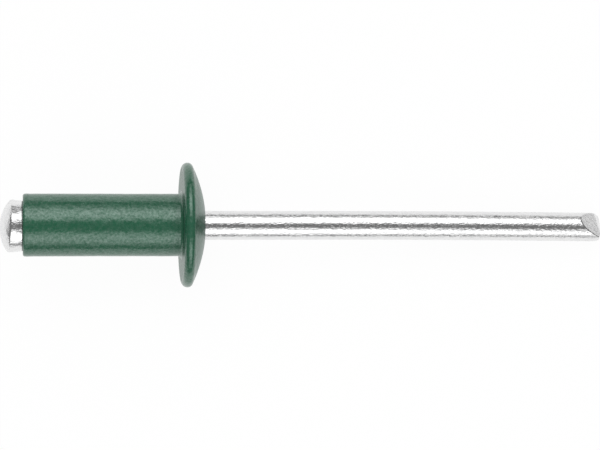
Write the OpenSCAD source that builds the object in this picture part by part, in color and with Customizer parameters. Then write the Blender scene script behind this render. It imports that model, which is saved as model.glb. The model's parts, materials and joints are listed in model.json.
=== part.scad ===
// Blind rivet with a domed flange, not yet set, lying as it comes to rest on a flat surface.
// It touches the surface at the rim of its flange and at the tip of its mandrel.
// +X runs along the rivet from the mandrel's head to its tip, and +Z is up.
// The origin is on the surface, in the middle of the rivet's outline from above.

/* [Rivet body] */
// Outside diameter of the shank
shank_d = 4; // [3.4:0.1:5]
// Length of the shank from the flange's underside to its tail face
shank_len = 10.1; // [6:0.1:16]
// Radius on the outer edge of the tail face
tail_r = 0.2; // [0.05:0.05:0.4]
// Diameter of the flange
flange_d = 8; // [7:0.1:10]
// Height of the flange from its underside to the crown of its dome
flange_h = 1.56; // [1.4:0.02:2.2]
// Radius of the dome over the flange
dome_r = 8.7; // [8:0.1:12]
// Radius on both edges of the flange's rim
rim_r = 0.3; // [0.08:0.02:0.34]
// Radius of the fillet between the shank and the flange's underside
root_r = 0.15; // [0.05:0.05:0.4]
// Gap between the mandrel and the bore, all round
bore_gap = 0.05; // [0.02:0.01:0.15]
// Radius on the bore's edge in the dome
mouth_r = 0.3; // [0.1:0.05:0.5]

/* [Mandrel] */
// Diameter of the mandrel's stem
mandrel_d = 1.86; // [1.5:0.02:2.3]
// Length of the stem that stands out of the dome's crown
stem_out = 25.8; // [15:0.1:40]
// Largest diameter of the mandrel's head
head_d = 3.34; // [3:0.02:3.8]
// Diameter of the head where it seats on the tail face
head_seat_d = 3.24; // [2.6:0.02:3.34]
// Height of the head from its seat to its crown
head_h = 1.47; // [1.3:0.01:2]
// Radius of the head's domed end
head_dome_r = 2.6; // [2.4:0.05:4]
// Radius of the head's shoulder
head_shoulder_r = 0.6; // [0.3:0.05:1]
// Diameter of the neck at which the stem breaks off
neck_d = 1.3; // [1:0.05:1.45]
// Distance from the head's seat to the middle of the neck
neck_at = 1.2; // [0.8:0.1:3]
// Angle between the neck's sloping sides and the stem's axis
neck_slope = 40; // [30:1:60]

/* [Mandrel tip] */
// Angle between each facet of the chisel tip and the stem's axis
tip_slope = 35; // [25:1:50]
// Width of the blunt edge between the two facets
tip_edge_w = 0.14; // [0.1:0.02:0.4]
// Distance from the stem's axis down to the middle of the blunt edge, square to that edge
tip_edge_off = 0.12; // [0:0.02:0.2]
// Turn of the facets about the stem's axis, from level
tip_turn = 34; // [-60:1:60]

/* [Hidden] */
$fn = 96;
shank_r = shank_d / 2;
flange_r = flange_d / 2;
stem_r = mandrel_d / 2;
bore_r = stem_r + bore_gap;
head_r = head_d / 2;

// Distances along the rivet's axis run from the flange's underside, positive towards the tip.
tail_at = -shank_len;
stem_end = flange_h + stem_out;
over = 1;

// Height above its base of the centre of a dome's edge arc, where the arc meets the dome smoothly
function edge_arc_at(r, height, crown_r, edge_r) =
    height - crown_r + sqrt(pow(crown_r - edge_r, 2) - pow(r - edge_r, 2));

// The rivet rests on the dome side of its rim and on the end of the stem's lowest line.
// That end lies where the lower facet cuts the stem, roll degrees round from its lowest line.
rim_arc_at = edge_arc_at(flange_r, flange_h, dome_r, rim_r);
rim_arc_r = flange_r - rim_r;
function facet_start(roll) =
    stem_end - (stem_r * cos(abs(tip_turn) + roll) - tip_edge_off - tip_edge_w / 2) / tan(tip_slope);
function tilt_at(roll) =
    let (along = facet_start(roll) - rim_arc_at, across = rim_arc_r - stem_r * cos(roll))
    atan2(across, along) + asin(rim_r / norm([along, across]));
function roll_at(tilt) =
    let (ratio = tan(tilt) / tan(tip_slope))
    atan2(ratio * sin(abs(tip_turn)), 1 - ratio * cos(tip_turn));
tilt = tilt_at(roll_at(tilt_at(0)));

// Place of the flange's underside in the rivet's outline from above, and its height
axis_z = rim_arc_at * sin(tilt) + rim_arc_r * cos(tilt) + rim_r;
head_end_x = (tail_at - head_h + head_dome_r) * cos(tilt) - head_dome_r;
tip_edge_top = tip_edge_off - tip_edge_w / 2;
tip_reach = abs(sin(tip_turn)) * sqrt(pow(stem_r, 2) - pow(tip_edge_top, 2)) - cos(tip_turn) * tip_edge_top;
tip_end_x = stem_end * cos(tilt) + tip_reach * sin(tilt);
flange_x = -(head_end_x + tip_end_x) / 2;

// Lays a piece that is drawn along +Z down at rest, with its axis along +X
module at_rest()
    translate([flange_x, 0, axis_z]) rotate([0, 90 + tilt, 0]) children();

// Half outline of a round dome on a flat base at y = 0, with its edge rounded
module dome_outline(r, height, crown_r, edge_r) {
    arc_at = edge_arc_at(r, height, crown_r, edge_r);
    arc_r = r - edge_r;
    crown_at = height - crown_r;
    reach = (crown_r + over) / (crown_r - edge_r);
    intersection() {
        translate([0, crown_at]) circle(crown_r);
        polygon([
            [0, 0],
            [arc_r, 0],
            [arc_r, arc_at],
            [arc_r * reach, crown_at + (arc_at - crown_at) * reach],
            [0, height + over]
        ]);
    }
    intersection() {
        translate([arc_r, arc_at]) circle(edge_r);
        square([r, height]);
    }
}

// Half outline of the flange: the dome, the straight land of its rim and the round lower edge
module flange_outline() {
    dome_outline(flange_r, flange_h, dome_r, rim_r);
    translate([0, rim_r]) square([flange_r, rim_arc_at - rim_r]);
    square([rim_arc_r, rim_r]);
    translate([rim_arc_r, rim_r]) circle(rim_r);
}

// Half outline of the shank, with its tail edge rounded and a fillet up to the flange
module shank_outline() {
    translate([0, tail_at + tail_r]) square([shank_r, shank_len - tail_r]);
    translate([0, tail_at]) square([shank_r - tail_r, tail_r]);
    translate([shank_r - tail_r, tail_at + tail_r]) circle(tail_r);
    difference() {
        translate([shank_r, -root_r]) square(root_r);
        translate([shank_r + root_r, -root_r]) circle(root_r);
    }
}

// Half outline of what the bore and its round edge in the dome take away
module bore_outline() {
    arc_at = edge_arc_at(bore_r + 2 * mouth_r, flange_h, dome_r, mouth_r);
    arc_r = bore_r + mouth_r;
    crown_at = flange_h - dome_r;
    reach = (dome_r + over) / (dome_r - mouth_r);
    translate([0, tail_at - over]) square([bore_r, shank_len + flange_h + 2 * over]);
    difference() {
        polygon([
            [0, arc_at],
            [arc_r, arc_at],
            [arc_r * reach, crown_at + (arc_at - crown_at) * reach],
            [0, flange_h + over]
        ]);
        translate([arc_r, arc_at]) circle(mouth_r);
    }
}

module rivet_body()
    color("darkseagreen") at_rest()
        rotate_extrude() difference() {
            union() {
                flange_outline();
                shank_outline();
            }
            bore_outline();
        }

// Half outline of the mandrel's head, which tapers a little towards its seat
module head_outline() {
    shoulder_at = edge_arc_at(head_r, head_h, head_dome_r, head_shoulder_r);
    translate([0, tail_at]) mirror([0, 1]) {
        dome_outline(head_r, head_h, head_dome_r, head_shoulder_r);
        polygon([[0, 0], [head_seat_d / 2, 0], [head_r, shoulder_at], [0, shoulder_at]]);
    }
}

// Half outline of the stem, with the V-shaped neck in it
module stem_outline() {
    neck_depth = stem_r - neck_d / 2;
    neck_half = neck_depth / tan(neck_slope);
    neck_mid = tail_at + neck_at;
    polygon([
        [0, tail_at - over / 2],
        [stem_r, tail_at - over / 2],
        [stem_r, neck_mid - neck_half],
        [neck_d / 2, neck_mid],
        [stem_r, neck_mid + neck_half],
        [stem_r, stem_end],
        [0, stem_end]
    ]);
}

// Wedge that leaves the two facets of the tip, wider than the stem at the head's end
module tip_wedge() {
    wedge_h = (stem_r + over) / tan(tip_slope);
    edge = tip_edge_w / 2;
    low = edge + wedge_h * tan(tip_slope);
    rotate([0, 0, -tip_turn]) rotate([90, 0, 0]) linear_extrude(mandrel_d + over, center = true)
        translate([tip_edge_off, 0]) polygon([
            [-low, tail_at - head_h - over],
            [low, tail_at - head_h - over],
            [low, stem_end - wedge_h],
            [edge, stem_end],
            [-edge, stem_end],
            [-low, stem_end - wedge_h]
        ]);
}

module mandrel()
    color("gainsboro") at_rest() {
        rotate_extrude() head_outline();
        intersection() {
            rotate_extrude() stem_outline();
            tip_wedge();
        }
    }

rivet_body();
mandrel();
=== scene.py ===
# Blind rivet with a green lacquered body on a bright steel mandrel, lying on a white sheet.
# Lengths in the settings are millimetres, apart from those of the lamps; mm turns them into metres.
import json
import math

import bpy
from mathutils import Matrix, Vector, noise


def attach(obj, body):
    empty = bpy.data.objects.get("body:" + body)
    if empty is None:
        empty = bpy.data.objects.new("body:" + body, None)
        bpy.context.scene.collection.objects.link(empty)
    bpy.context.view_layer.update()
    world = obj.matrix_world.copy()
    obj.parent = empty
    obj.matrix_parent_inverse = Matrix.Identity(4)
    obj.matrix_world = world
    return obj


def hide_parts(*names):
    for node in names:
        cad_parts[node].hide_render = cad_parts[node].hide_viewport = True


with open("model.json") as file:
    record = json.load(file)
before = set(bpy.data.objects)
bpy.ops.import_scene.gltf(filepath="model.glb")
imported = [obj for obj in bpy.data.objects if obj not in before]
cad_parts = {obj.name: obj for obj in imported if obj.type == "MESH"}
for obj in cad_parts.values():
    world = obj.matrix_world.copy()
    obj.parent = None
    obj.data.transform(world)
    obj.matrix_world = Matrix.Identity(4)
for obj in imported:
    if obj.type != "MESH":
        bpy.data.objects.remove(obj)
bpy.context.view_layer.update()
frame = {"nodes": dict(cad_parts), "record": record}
mm = 0.001
print("frame loaded:", sorted(frame["nodes"]))


# Where the rivet lies, from the mounts that the frame gives.
# Its own axes are z towards the tip, x down, and zero at the flange's underside.

mounts = {m["name"]: m for m in frame["record"]["mounts"]}


def rivetPlace():
    along = Vector(mounts["mandrel_stem"]["axis"]).normalized()
    across = Vector((0, 1, 0))
    down = across.cross(along)
    onAxis = Vector(mounts["mandrel_stem"]["pos_m"])
    start = onAxis + along * (Vector(mounts["head_seat"]["pos_m"]) - onAxis).dot(along)
    place = Matrix((down, across, along)).transposed().to_4x4()
    place.translation = start
    return place


place = rivetPlace()


# Camera, straight above the sheet as for the photograph

cameraSettings = {
    "pictureWidth": 600, "sensorWidth": 36,
    "focalPixels": 2400,        # focal length in pixels of the picture
    "pixelsPerMm": 15.6,        # scale at the height of the rivet's axis in the flange
    "fromFlangeX": 7.609,       # point of the sheet under the camera, from the flange's underside
    "nearest": 10,              # nothing closer than this is drawn
}


def makeCamera(s):
    data = bpy.data.cameras.new("camera")
    data.sensor_width = s["sensorWidth"]
    data.lens = s["focalPixels"] / s["pictureWidth"] * data.sensor_width
    data.clip_start = s["nearest"] * mm
    camera = bpy.data.objects.new("camera", data)
    height = place.translation.z + s["focalPixels"] / s["pixelsPerMm"] * mm
    camera.location = (place.translation.x + s["fromFlangeX"] * mm, 0, height)
    bpy.context.scene.collection.objects.link(camera)
    bpy.context.scene.camera = camera


makeCamera(cameraSettings)
print("camera ready")


# Outlines are lists of (radius, distance along the axis), both in millimetres

def arc(cx, cy, r, start, end, steps):
    turn = [math.radians(start + (end - start) * i / steps) for i in range(steps + 1)]
    return [(cx + r * math.cos(a), cy + r * math.sin(a)) for a in turn]


def line(a, b, steps):
    return [(a[0] + (b[0] - a[0]) * i / steps, a[1] + (b[1] - a[1]) * i / steps)
            for i in range(steps + 1)]


# One outline from stretches that meet, without the points that they share
def joined(*stretches):
    same = 1e-4
    points = []
    for stretch in stretches:
        for p in stretch:
            if not points or math.dist(p, points[-1]) > same:
                points.append(p)
    return points


# Centre of the arc that rounds a dome's edge, and the angle at which it meets the dome
def edgeArc(r, height, crownR, edgeR):
    cx = r - edgeR
    rise = math.sqrt((crownR - edgeR) ** 2 - cx ** 2)
    return cx, height - crownR + rise, math.degrees(math.atan2(rise, cx))


# Turns an outline about the axis. shift moves a point, given its radius, distance, angle and ring.
def revolve(name, outline, around, closed, shift):
    verts, faces = [], []
    for j, (r, z) in enumerate(outline):
        for i in range(around):
            turn = 2 * math.pi * i / around
            rr, zz = shift(r, z, turn, j)
            verts.append((rr * math.cos(turn) * mm, rr * math.sin(turn) * mm, zz * mm))
    rings = len(outline)
    for j in range(rings if closed else rings - 1):
        k = (j + 1) % rings
        for i in range(around):
            n = (i + 1) % around
            faces.append((j * around + i, j * around + n, k * around + n, k * around + i))
    if not closed:
        faces.append(tuple(reversed(range(around))))
        faces.append(tuple((rings - 1) * around + i for i in range(around)))
    mesh = bpy.data.meshes.new(name)
    mesh.from_pydata(verts, [], faces)
    mesh.transform(place)
    mesh.shade_smooth()
    mesh.update()
    piece = bpy.data.objects.new(name, mesh)
    bpy.context.scene.collection.objects.link(piece)
    return piece


# Gives each point of a turned piece a number that its material reads
def markPoints(piece, name, outline, around, mark):
    marks = piece.data.attributes.new(name, "FLOAT", "POINT")
    for j, (r, z) in enumerate(outline):
        for i in range(around):
            marks.data[j * around + i].value = mark(r, z, 2 * math.pi * i / around, j)


# Unevenness at a point in millimetres, about -1 to 1, with features of the given size
def uneven(x, y, z, size, seed):
    return noise.noise(Vector((x / size + seed, y / size - seed, z / size + 2 * seed)))


def clamp(share):
    return min(1.0, max(0.0, share))


# Rivet body: the shank and its domed flange

bodySettings = {
    "shankR": 2.0, "shankLen": 10.1, "tailR": 0.14,
    "flangeR": 4.0, "flangeH": 1.56, "domeR": 8.7,
    "rimR": 0.3, "rimLowR": 0.39, "rootR": 0.22,
    "boreR": 1.0, "mouthR": 0.3,
    "around": 256,
    "domeDull": 0.7, "dullFrom": 0.75, "dullFade": 0.1,     # the lacquer is duller on the dome
    "bead": 0.012, "beadAt": 0.3, "beadWidth": 0.12,        # lacquer drawn to an edge by the tail
    "peelDepth": 0.006, "peelSize": 0.5, "peelSeed": 3,     # orange peel of the lacquer
    "waveDepth": 0.012, "waveSize": 2.2, "waveSeed": 7,
    "evenBore": 0.2,                    # the bore and this much round it stay even
    "domeOut": 0.1, "domeFrom": 0.5,    # the dome's own waves run along the axis
}


def bodyOutline(s):
    cx, cz, meet = edgeArc(s["flangeR"], s["flangeH"], s["domeR"], s["rimR"])
    domeZ = s["flangeH"] - s["domeR"]
    mouthR = s["boreR"] + 2 * s["mouthR"]
    mouthX, mouthZ, mouthMeet = edgeArc(mouthR, s["flangeH"], s["domeR"], s["mouthR"])
    tail = -s["shankLen"]
    points = joined(
        line((s["boreR"], tail), (s["shankR"] - s["tailR"], tail), 8),
        arc(s["shankR"] - s["tailR"], tail + s["tailR"], s["tailR"], -90, 0, 10),
        line((s["shankR"], tail + s["tailR"]), (s["shankR"], -s["rootR"]), 190),
        arc(s["shankR"] + s["rootR"], -s["rootR"], s["rootR"], 180, 90, 8),
        line((s["shankR"] + s["rootR"], 0), (s["flangeR"] - s["rimLowR"], 0), 14),
        arc(s["flangeR"] - s["rimLowR"], s["rimLowR"], s["rimLowR"], -90, 0, 14),
        arc(cx, cz, s["rimR"], 0, meet, 12),
        arc(0, domeZ, s["domeR"], meet, mouthMeet, 40),
        arc(mouthX, mouthZ, s["mouthR"], mouthMeet, 180, 12),
        line((s["boreR"], mouthZ), (s["boreR"], tail), 12),
    )
    return points[:-1]


def makeBody(s):
    def peeled(r, z, turn, j):
        if r < s["boreR"] + s["evenBore"]:
            return r, z
        x, y = r * math.cos(turn), r * math.sin(turn)
        depth = s["peelDepth"] * uneven(x, y, z, s["peelSize"], s["peelSeed"])
        depth += s["waveDepth"] * uneven(x, y, z, s["waveSize"], s["waveSeed"])
        fromBead = z + s["shankLen"] - s["beadAt"]
        depth += s["bead"] * math.exp(-(fromBead / s["beadWidth"]) ** 2)
        if r > s["shankR"] + s["rootR"] + s["domeOut"] and z > s["domeFrom"]:
            return r, z + depth
        return r + depth, z
    outline = bodyOutline(s)
    piece = revolve("rivet_body_lacquered", outline, s["around"], True, peeled)

    # The flange's flat underside is the dullest
    def dull(r, z, turn, j):
        if z == 0:
            return 1.0
        return s["domeDull"] * clamp((z - s["dullFrom"]) / s["dullFade"])
    markPoints(piece, "dull", outline, s["around"], dull)
    return piece


# Mandrel: its head, the neck inside the shank, the stem and the chisel tip

mandrelSettings = {
    "stemR": 0.93, "stemEnd": 27.36, "seat": -10.1,
    "headR": 1.67, "headSeatR": 1.62, "headH": 1.475, "headDomeR": 2.6, "shoulderR": 0.62,
    "cornerR": 0.09, "cornerAt": 42,        # the shoulder's last turn into the side is tighter
    "turnIn": 0.12, "turnInDepth": 0.008,   # the side turns in at the seat
    "seatEdgeR": 0.05,
    "leanUp": 0.08, "leanAside": 0.05,      # the domed end isn't quite square to the wire
    "leanOver": 0.9,                        # and leans fully from this far off the seat
    "headSeed": 15, "headDepth": 0.045, "headSize": 0.6,    # unevenness left by the heading,
    "headEven": 0.3, "crownEven": 0.4,      # which fades towards the seat and the crown
    "neckR": 0.65, "neckAt": 1.2, "neckSlope": 40,
    "tipLen": 2,                            # end of the wire that the cuts shape
    "tipTurn": 34,                          # turn of the two facets about the axis
    "tipUpper": 0.115, "upperSlope": 31.2,
    "tipLower": 0.08, "lowerSlope": 35,
    "bevelTurn": 43, "bevelSlope": 52,      # steeper strip at the end of the upper facet
    "tipEdgeR": 0.05,
    "endLean": 0.117, "leanFrom": -0.48,    # the cut leans, so the edge is upright over the sheet
    "cornerDrop": 0.14,                     # how far one end of the tip's edge is rounded
    "aside": 0.022, "headAside": 0.038,     # the wire lies a little to one side in the bore
    "bendStart": 9.0, "bend": 0.12,         # and its free end bends to that side
    "around": 192,
}


def mandrelOutline(s):
    corner = math.radians(s["cornerAt"])
    tighter = s["shoulderR"] - s["cornerR"]
    fullR = s["headR"] + tighter * (1 - math.cos(corner))
    cx, cz, meet = edgeArc(fullR, s["headH"], s["headDomeR"], s["shoulderR"])
    seat = s["seat"]
    sideZ = seat - cz - tighter * math.sin(corner)
    endR = s["headSeatR"] - s["turnInDepth"]
    domeZ = seat - s["headH"] + s["headDomeR"]
    neckMid = seat + s["neckAt"]
    neckHalf = (s["stemR"] - s["neckR"]) / math.tan(math.radians(s["neckSlope"]))
    edge = s["seatEdgeR"]
    return joined(
        arc(0, domeZ, s["headDomeR"], -89.8, -meet, 40),
        arc(cx, seat - cz, s["shoulderR"], -meet, -s["cornerAt"], 16),
        arc(s["headR"] - s["cornerR"], sideZ, s["cornerR"], -s["cornerAt"], 0, 16),
        line((s["headR"], sideZ), (s["headSeatR"], seat - s["turnIn"]), 26),
        line((s["headSeatR"], seat - s["turnIn"]), (endR, seat - edge), 4),
        arc(endR - edge, seat - edge, edge, 0, 90, 4),
        line((endR - edge, seat), (s["stemR"], seat), 6),
        line((s["stemR"], seat), (s["stemR"], neckMid - neckHalf), 4),
        line((s["stemR"], neckMid - neckHalf), (s["neckR"], neckMid), 4),
        line((s["neckR"], neckMid), (s["stemR"], neckMid + neckHalf), 4),
        line((s["stemR"], neckMid + neckHalf), (s["stemR"], s["stemEnd"] - s["tipLen"]), 80),
    )


# How deep each cut of the tip goes at a point:
# the upper facet, the lower one, the steeper strip and the rounded corner
def tipCuts(s, x, y):
    def over(turn):
        return -x * math.cos(math.radians(turn)) + y * math.sin(math.radians(turn))
    alongEdge = over(s["tipTurn"] + 90) / s["stemR"]
    upper = (over(s["tipTurn"]) - s["tipUpper"]) / math.tan(math.radians(s["upperSlope"]))
    lower = (-over(s["tipTurn"]) - s["tipLower"]) / math.tan(math.radians(s["lowerSlope"]))
    strip = over(s["bevelTurn"]) / math.tan(math.radians(s["bevelSlope"]))
    return upper, lower, strip, s["cornerDrop"] * min(0.0, alongEdge) ** 4


def tipHeight(s, x, y):
    return s["stemEnd"] + s["endLean"] * (x - s["leanFrom"]) - max(0.0, *tipCuts(s, x, y))


def onFacet(s, x, y):
    cuts = tipCuts(s, x, y)
    return cuts[0] == max(cuts)


# How far the wire's middle lies to one side at a distance along the axis
def sideways(s, z):
    inBore = s["aside"] + s["headAside"] * clamp(z / s["seat"])
    share = max(0.0, z - s["bendStart"]) / (s["stemEnd"] - s["bendStart"])
    return inBore + s["bend"] * share ** 2


# The last rings run up the stem's side, round its edge and over its end, and shaped places them
def makeMandrel(s):
    outline = mandrelOutline(s)
    straight = len(outline)
    sideSteps, edgeSteps, discSteps = 20, 8, 44
    onEdge, onDisc = straight + sideSteps, straight + sideSteps + edgeSteps
    start = s["stemEnd"] - s["tipLen"]
    edge = s["tipEdgeR"]
    inner = s["stemR"] - edge
    outline += [(s["stemR"], start)] * (sideSteps + edgeSteps)
    outline += [(inner * (1 - (i + 1) / (discSteps + 1)), start) for i in range(discSteps)]

    def shaped(r, z, turn, j):
        x, y = r * math.cos(turn), r * math.sin(turn)
        if z < s["seat"]:
            fromSeat = s["seat"] - z
            lean = s["leanAside"] * y - s["leanUp"] * x
            depth = s["headDepth"] * uneven(x, y, z, s["headSize"], s["headSeed"])
            depth *= clamp(fromSeat / s["headEven"])
            return r + depth * clamp(r / s["crownEven"]), z + lean * clamp(fromSeat / s["leanOver"])
        if j < straight:
            return r, z
        if j < onEdge:
            share = (j - straight + 1) / sideSteps
            return r, start + (tipHeight(s, x, y) - edge - start) * share
        if j < onDisc:
            a = math.pi / 2 * (j - onEdge + 1) / edgeSteps
            r = s["stemR"] - edge * (1 - math.cos(a))
            top = tipHeight(s, r * math.cos(turn), r * math.sin(turn))
            return r, top - edge * (1 - math.sin(a))
        return r, tipHeight(s, x, y)
    piece = revolve("mandrel_plated", outline, s["around"], False, shaped)
    along = place.col[2].to_3d()
    for vertex in piece.data.vertices:
        vertex.co.y -= sideways(s, (vertex.co - place.translation).dot(along) / mm) * mm

    # Marks the tip's upper facet. Its material gives it a torn grain and more roughness, and
    # darkens its colour as painted shade
    def tornAndShadedFacet(r, z, turn, j):
        onEnd = j >= onEdge + edgeSteps // 2
        return float(onEnd and onFacet(s, r * math.cos(turn), r * math.sin(turn)))
    markPoints(piece, "cut", outline, s["around"], tornAndShadedFacet)
    return piece


# Materials

# A material with its textures laid out along the rivet's own axes, in millimetres
def newMaterial(name):
    material = bpy.data.materials.new(name)
    material.use_nodes = True
    nodes, links = material.node_tree.nodes, material.node_tree.links
    where = nodes.new("ShaderNodeTexCoord")
    local = nodes.new("ShaderNodeMapping")
    local.vector_type = "TEXTURE"
    local.inputs["Location"].default_value = place.translation
    local.inputs["Rotation"].default_value = place.to_euler()
    local.inputs["Scale"].default_value = (mm, mm, mm)
    links.new(where.outputs["Object"], local.inputs["Vector"])
    return material, nodes, links, nodes["Principled BSDF"], local.outputs["Vector"]


# Noise with features of the given sizes in millimetres across and along the rivet
def noiseNode(nodes, links, vector, across, along, detail):
    squeeze = nodes.new("ShaderNodeMapping")
    squeeze.inputs["Scale"].default_value = (1 / across, 1 / across, 1 / along)
    links.new(vector, squeeze.inputs["Vector"])
    grain = nodes.new("ShaderNodeTexNoise")
    grain.inputs["Scale"].default_value = 1
    grain.inputs["Detail"].default_value = detail
    links.new(squeeze.outputs["Vector"], grain.inputs["Vector"])
    return grain.outputs["Fac"]


noiseRange = (0.3, 0.7)     # where nearly all of a noise's values lie


# Spreads a noise from low to high
def rangeNode(nodes, links, value, low, high):
    spread = nodes.new("ShaderNodeMapRange")
    spread.inputs["From Min"].default_value = noiseRange[0]
    spread.inputs["From Max"].default_value = noiseRange[1]
    spread.inputs["To Min"].default_value = low
    spread.inputs["To Max"].default_value = high
    links.new(value, spread.inputs["Value"])
    return spread.outputs["Result"]


# One step of arithmetic, on numbers and other nodes' outputs
def mathNode(nodes, links, operation, *values):
    step = nodes.new("ShaderNodeMath")
    step.operation = operation
    for socket, value in zip(step.inputs, values):
        if isinstance(value, (int, float)):
            socket.default_value = value
        else:
            links.new(value, socket)
    return step.outputs[0]


# The number with which markPoints has marked the piece's points
def markNode(nodes, name):
    marked = nodes.new("ShaderNodeAttribute")
    marked.attribute_name = name
    return marked.outputs["Fac"]


# A colour that drifts between the settings' dark and light ones
def cloudNode(nodes, links, local, s):
    cloud = noiseNode(nodes, links, local, s["cloudSize"], s["cloudLength"], 3)
    shade = nodes.new("ShaderNodeMix")
    shade.data_type = "RGBA"
    shade.inputs["A"].default_value = s["dark"]
    shade.inputs["B"].default_value = s["light"]
    links.new(rangeNode(nodes, links, cloud, 0, 1), shade.inputs["Factor"])
    return shade.outputs["Result"]


# A bump whose relief runs over the given depth in millimetres, on top of the one under it
def bumpNode(nodes, links, height, depth, under=None):
    bump = nodes.new("ShaderNodeBump")
    bump.inputs["Strength"].default_value = 1
    bump.inputs["Distance"].default_value = depth * mm
    links.new(height, bump.inputs["Height"])
    if under is not None:
        links.new(under, bump.inputs["Normal"])
    return bump.outputs["Normal"]


lacquerSettings = {
    "dark": (0.012, 0.085, 0.044, 1), "light": (0.016, 0.1, 0.0525, 1),
    "cloudSize": 0.5, "cloudLength": 0.5,
    "ior": 1.83, "tint": (0.86, 1.0, 0.94, 1),
    "roughLow": 0.18, "roughHigh": 0.28,
    "dulled": 0.12,                             # roughness added where the lacquer is duller
    "fleckSize": 0.16, "fleckDepth": 0.01, "sheenLow": 0.25, "sheenHigh": 0.75,
    "dimpleSize": 0.35, "dimpleDepth": 0.012,
}


def greenLacquer(s):
    material, nodes, links, shader, local = newMaterial("green lacquer")
    links.new(cloudNode(nodes, links, local, s), shader.inputs["Base Color"])
    shader.inputs["IOR"].default_value = s["ior"]
    shader.inputs["Specular Tint"].default_value = s["tint"]
    fleck = noiseNode(nodes, links, local, s["fleckSize"], s["fleckSize"], 2)
    dimple = noiseNode(nodes, links, local, s["dimpleSize"], s["dimpleSize"], 1)
    rough = rangeNode(nodes, links, fleck, s["roughLow"], s["roughHigh"])
    rough = mathNode(nodes, links, "MULTIPLY_ADD", markNode(nodes, "dull"), s["dulled"], rough)
    links.new(rough, shader.inputs["Roughness"])
    sheen = rangeNode(nodes, links, fleck, s["sheenLow"], s["sheenHigh"])
    links.new(sheen, shader.inputs["Specular IOR Level"])
    relief = bumpNode(nodes, links, dimple, s["dimpleDepth"])
    relief = bumpNode(nodes, links, fleck, s["fleckDepth"], relief)
    links.new(relief, shader.inputs["Normal"])
    return material


steelSettings = {
    "dark": (0.76, 0.76, 0.765, 1), "light": (0.83, 0.83, 0.83, 1),
    "cloudSize": 0.25, "cloudLength": 0.75,
    "roughLow": 0.08, "roughHigh": 0.33,
    "streakAcross": 0.08, "streakAlong": 0.45, "streakDepth": 0.007,    # drawing marks of the wire
    "pitSize": 0.1, "pitLength": 0.2, "pitDepth": 0.016,
    # cutPaintedShade darkens the upper facet's colour as painted shade for its dimmer reflection;
    # cutRough and the grain are the cut's own
    "cutPaintedShade": (0.92, 0.92, 0.92, 1), "cutRough": 0.12,                 # the tip's upper facet
    "cutGrain": 0.1, "cutLength": 0.2, "cutDepth": 0.0035,
}


def platedSteel(s):
    material, nodes, links, shader, local = newMaterial("plated steel")
    shader.inputs["Metallic"].default_value = 1
    cut = markNode(nodes, "cut")
    # The upper facet's colour is multiplied darker: painted shade, standing in for that facet's
    # dimmer reflection
    paintedFacetShade = nodes.new("ShaderNodeMix")
    paintedFacetShade.data_type = "RGBA"
    paintedFacetShade.blend_type = "MULTIPLY"
    paintedFacetShade.inputs["B"].default_value = s["cutPaintedShade"]
    links.new(cut, paintedFacetShade.inputs["Factor"])
    links.new(cloudNode(nodes, links, local, s), paintedFacetShade.inputs["A"])
    links.new(paintedFacetShade.outputs["Result"], shader.inputs["Base Color"])
    streak = noiseNode(nodes, links, local, s["streakAcross"], s["streakAlong"], 2)
    pit = noiseNode(nodes, links, local, s["pitSize"], s["pitLength"], 2)
    grain = noiseNode(nodes, links, local, s["cutGrain"], s["cutLength"], 3)
    rough = rangeNode(nodes, links, pit, s["roughLow"], s["roughHigh"])
    rough = mathNode(nodes, links, "MULTIPLY_ADD", cut, s["cutRough"], rough)
    links.new(rough, shader.inputs["Roughness"])
    relief = bumpNode(nodes, links, streak, s["streakDepth"])
    relief = bumpNode(nodes, links, pit, s["pitDepth"], relief)
    tornHeight = mathNode(nodes, links, "MULTIPLY", cut, grain)
    relief = bumpNode(nodes, links, tornHeight, s["cutDepth"], relief)
    links.new(relief, shader.inputs["Normal"])
    return material


body = makeBody(bodySettings)
body.data.materials.append(greenLacquer(lacquerSettings))
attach(body, "root")
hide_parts("rivet_body")
print("rivet body made:", len(body.data.polygons), "faces")

mandrel = makeMandrel(mandrelSettings)
mandrel.data.materials.append(platedSteel(steelSettings))
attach(mandrel, "root")
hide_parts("mandrel")
print("mandrel made:", len(mandrel.data.polygons), "faces")


# Sheet, lamps and room. Lamps are in metres, and angles are from straight up, in degrees.

studioSettings = {
    "sheet": 100, "sheetBack": 10,      # width of the sheet, and how far back its middle lies
    "sheetWhite": 0.95,
    "whiteSeen": 0.95, "whiteMirrored": 0.95,   # share of plain white, straight and mirrored
    "distance": 0.5,                    # of the two long lamps
    "lampHalf": 0.5, "lampFade": 0.1,   # half their length and its fading end, over the distance
    "lampBright": 1.6,
    # brightness across each lamp's face at angles from straight up, in shares of lampBright
    "back": [(14, 0), (20, 0.5), (30, 0.93), (42, 1.06), (54, 0.87),
             (62, 0.59), (70, 0.26), (80, 0.12), (82, 0)],
    "front": [(20, 0), (30, 0.43), (41, 0.76), (50, 0.82), (62, 0.73),
              (70, 0.5), (77, 0.33), (82, 0.2), (84, 0)],
    "fill": 0.88, "fillSize": 1.4, "fillHeight": 0.9,   # soft lamp overhead that nothing mirrors
    "roomBright": 0.19,
}


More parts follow.
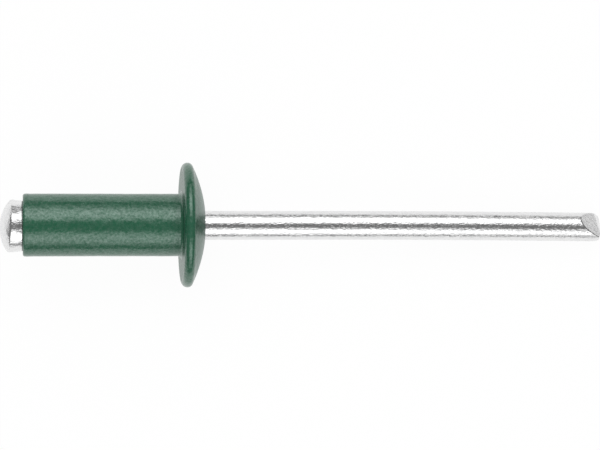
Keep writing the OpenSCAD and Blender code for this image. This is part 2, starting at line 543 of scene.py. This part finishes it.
# To the camera and to mirrored rays most of the sheet is plain white,
# and the rest is a diffuse white that takes the rivet's shadow
def makeTable(s):
    half, back = s["sheet"] / 2 * mm, s["sheetBack"] * mm
    corners = [(-half, -half), (half, -half), (half, half), (-half, half)]
    mesh = bpy.data.meshes.new("table")
    mesh.from_pydata([(x, y + back, 0) for x, y in corners], [], [(0, 1, 2, 3)])
    table = bpy.data.objects.new("table", mesh)
    bpy.context.scene.collection.objects.link(table)
    material = bpy.data.materials.new("white sheet")
    material.use_nodes = True
    nodes, links = material.node_tree.nodes, material.node_tree.links
    nodes.clear()
    out = nodes.new("ShaderNodeOutputMaterial")
    mix = nodes.new("ShaderNodeMixShader")
    path = nodes.new("ShaderNodeLightPath")
    mirrored = mathNode(nodes, links, "MULTIPLY", path.outputs["Is Glossy Ray"], s["whiteMirrored"])
    seen = path.outputs["Is Camera Ray"]
    share = mathNode(nodes, links, "MULTIPLY_ADD", seen, s["whiteSeen"], mirrored)
    plain = nodes.new("ShaderNodeBsdfDiffuse")
    plain.inputs["Color"].default_value = (s["sheetWhite"],) * 3 + (1,)
    white = nodes.new("ShaderNodeEmission")
    links.new(share, mix.inputs[0])
    links.new(plain.outputs[0], mix.inputs[1])
    links.new(white.outputs[0], mix.inputs[2])
    links.new(mix.outputs[0], out.inputs[0])
    mesh.materials.append(material)


curveTop = 2    # value that a fade curve's full height stands for


# A curve through spots of (place, value), whose places run from 0 to 1
def fadeNode(nodes, links, value, spots):
    fade = nodes.new("ShaderNodeFloatCurve")
    points = fade.mapping.curves[0].points
    points[0].location = (spots[0][0], spots[0][1] / curveTop)
    points[1].location = (spots[-1][0], spots[-1][1] / curveTop)
    for spot, bright in spots[1:-1]:
        points.new(spot, bright / curveTop)
    fade.mapping.update()
    links.new(value, fade.inputs["Value"])
    return fade.outputs[0]


# An area lamp that faces the rivet, and fades across its face and towards its ends.
# Its heading is the side of the rivet on which it stands, from +X.
def makeLamp(name, s, heading, profile):
    middle = (profile[0][0] + profile[-1][0]) / 2
    reach = [s["distance"] * math.tan(math.radians(angle - middle)) for angle, bright in profile]
    data = bpy.data.lights.new(name, "AREA")
    data.shape = "RECTANGLE"
    data.size = 2 * s["lampHalf"] * s["distance"]
    data.size_y = reach[-1] - reach[0]
    data.energy = curveTop ** 2 * math.pi * data.size * data.size_y * s["lampBright"]
    data.use_nodes = True
    nodes, links = data.node_tree.nodes, data.node_tree.links
    face = nodes.new("ShaderNodeNewGeometry")
    split = nodes.new("ShaderNodeSeparateXYZ")
    links.new(face.outputs["Parametric"], split.inputs[0])
    spots = [((y - reach[0]) / data.size_y, bright) for y, (angle, bright) in zip(reach, profile)]
    acrossFade = fadeNode(nodes, links, split.outputs["Y"], spots)
    end = s["lampFade"] / (2 * s["lampHalf"])
    alongFade = fadeNode(nodes, links, split.outputs["X"], [(0, 0), (end, 1), (1 - end, 1), (1, 0)])
    both = mathNode(nodes, links, "MULTIPLY", acrossFade, alongFade)
    links.new(both, nodes["Emission"].inputs["Strength"])
    lamp = bpy.data.objects.new(name, data)
    swing = Matrix.Rotation(math.radians(heading - 90), 4, "Z")
    tilt = Matrix.Rotation(math.radians(-middle), 4, "X")
    lamp.matrix_world = swing @ tilt @ Matrix.Translation((0, 0, s["distance"]))
    lamp.visible_camera = False
    bpy.context.scene.collection.objects.link(lamp)


def makeFill(s):
    data = bpy.data.lights.new("fill", "AREA")
    data.size = s["fillSize"]
    data.energy = s["fill"] * math.pi * s["fillSize"] ** 2
    fill = bpy.data.objects.new("fill", data)
    fill.location = (0, 0, s["fillHeight"])
    fill.visible_camera = False
    fill.visible_glossy = False
    bpy.context.scene.collection.objects.link(fill)


# A grey room, which the camera sees as plain white
def makeRoom(s):
    world = bpy.data.worlds.new("studio")
    bpy.context.scene.world = world
    world.use_nodes = True
    nodes, links = world.node_tree.nodes, world.node_tree.links
    nodes.clear()
    out = nodes.new("ShaderNodeOutputWorld")
    mix = nodes.new("ShaderNodeMixShader")
    path = nodes.new("ShaderNodeLightPath")
    room = nodes.new("ShaderNodeBackground")
    room.inputs["Color"].default_value = (1, 1, 1, 1)
    room.inputs["Strength"].default_value = s["roomBright"]
    white = nodes.new("ShaderNodeBackground")
    white.inputs["Color"].default_value = (1, 1, 1, 1)
    links.new(path.outputs["Is Camera Ray"], mix.inputs[0])
    links.new(room.outputs[0], mix.inputs[1])
    links.new(white.outputs[0], mix.inputs[2])
    links.new(mix.outputs[0], out.inputs[0])


makeTable(studioSettings)
for name, heading in (("back", 90), ("front", -90)):
    makeLamp("lamp " + name, studioSettings, heading, studioSettings[name])
makeFill(studioSettings)
makeRoom(studioSettings)
bpy.context.scene.view_settings.view_transform = "Standard"
print("studio ready")
